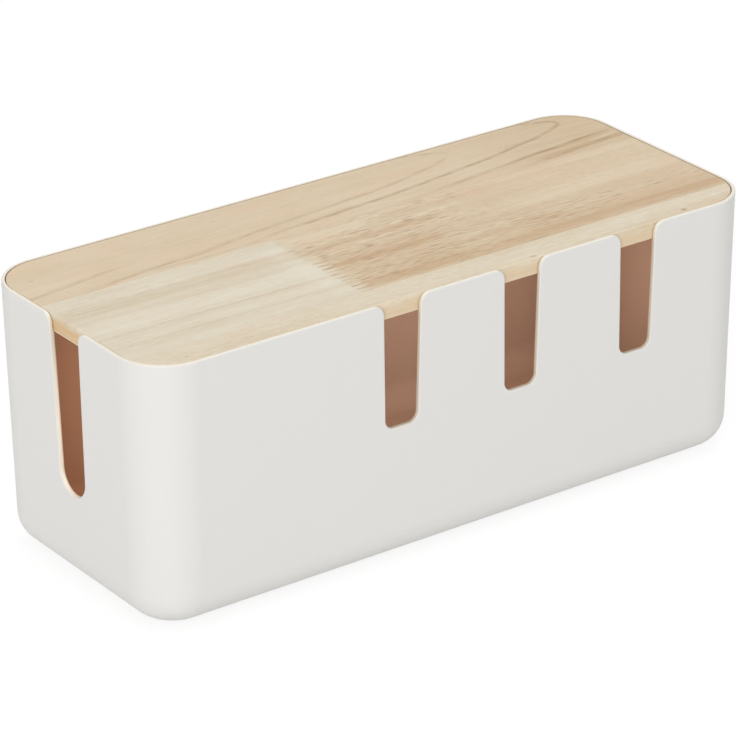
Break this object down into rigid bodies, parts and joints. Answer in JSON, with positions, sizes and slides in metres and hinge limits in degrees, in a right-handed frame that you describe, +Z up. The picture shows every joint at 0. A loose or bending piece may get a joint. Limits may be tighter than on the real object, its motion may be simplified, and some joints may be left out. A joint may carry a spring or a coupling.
{
  "type": "cable management box",
  "caption": "Long rounded white plastic box with open-topped cable slots and a lift-off wooden lid lying inside its rim, for hiding a power strip and its leads.",
  "frame": {"origin": "middle of the footprint, on the surface the feet stand on", "axes": "+X along the box, away from the end with the slot; -Y towards the long side with the slots; +Z up"},
  "size_m": [0.3194, 0.1304, 0.1233],
  "materials": {
    "white_shell": "fine satin moulded plastic, warm white outside and brown inside",
    "tan_wood": "satin oiled rubberwood, tan",
    "cream_wood": "satin oiled rubberwood, cream",
    "brown_wood": "satin oiled rubberwood, darker and streaked",
    "foot_rubber": "matt grey silicone"
  },
  "bodies": {
    "tub": {"tub": "white_shell", "foot_front_left": "foot_rubber", "foot_front_right": "foot_rubber", "foot_back_left": "foot_rubber", "foot_back_right": "foot_rubber"},
    "lid": {"lid_back_stave": "tan_wood", "lid_middle_left_stave": "cream_wood", "lid_middle_right_stave": "brown_wood", "lid_front_stave": "cream_wood"}
  },
  "joints": [
    {"name": "lid_lift", "type": "slide", "parent": "tub", "child": "lid", "axis": [0, 0, 1], "range_m": [0, 0.15]}
  ]
}
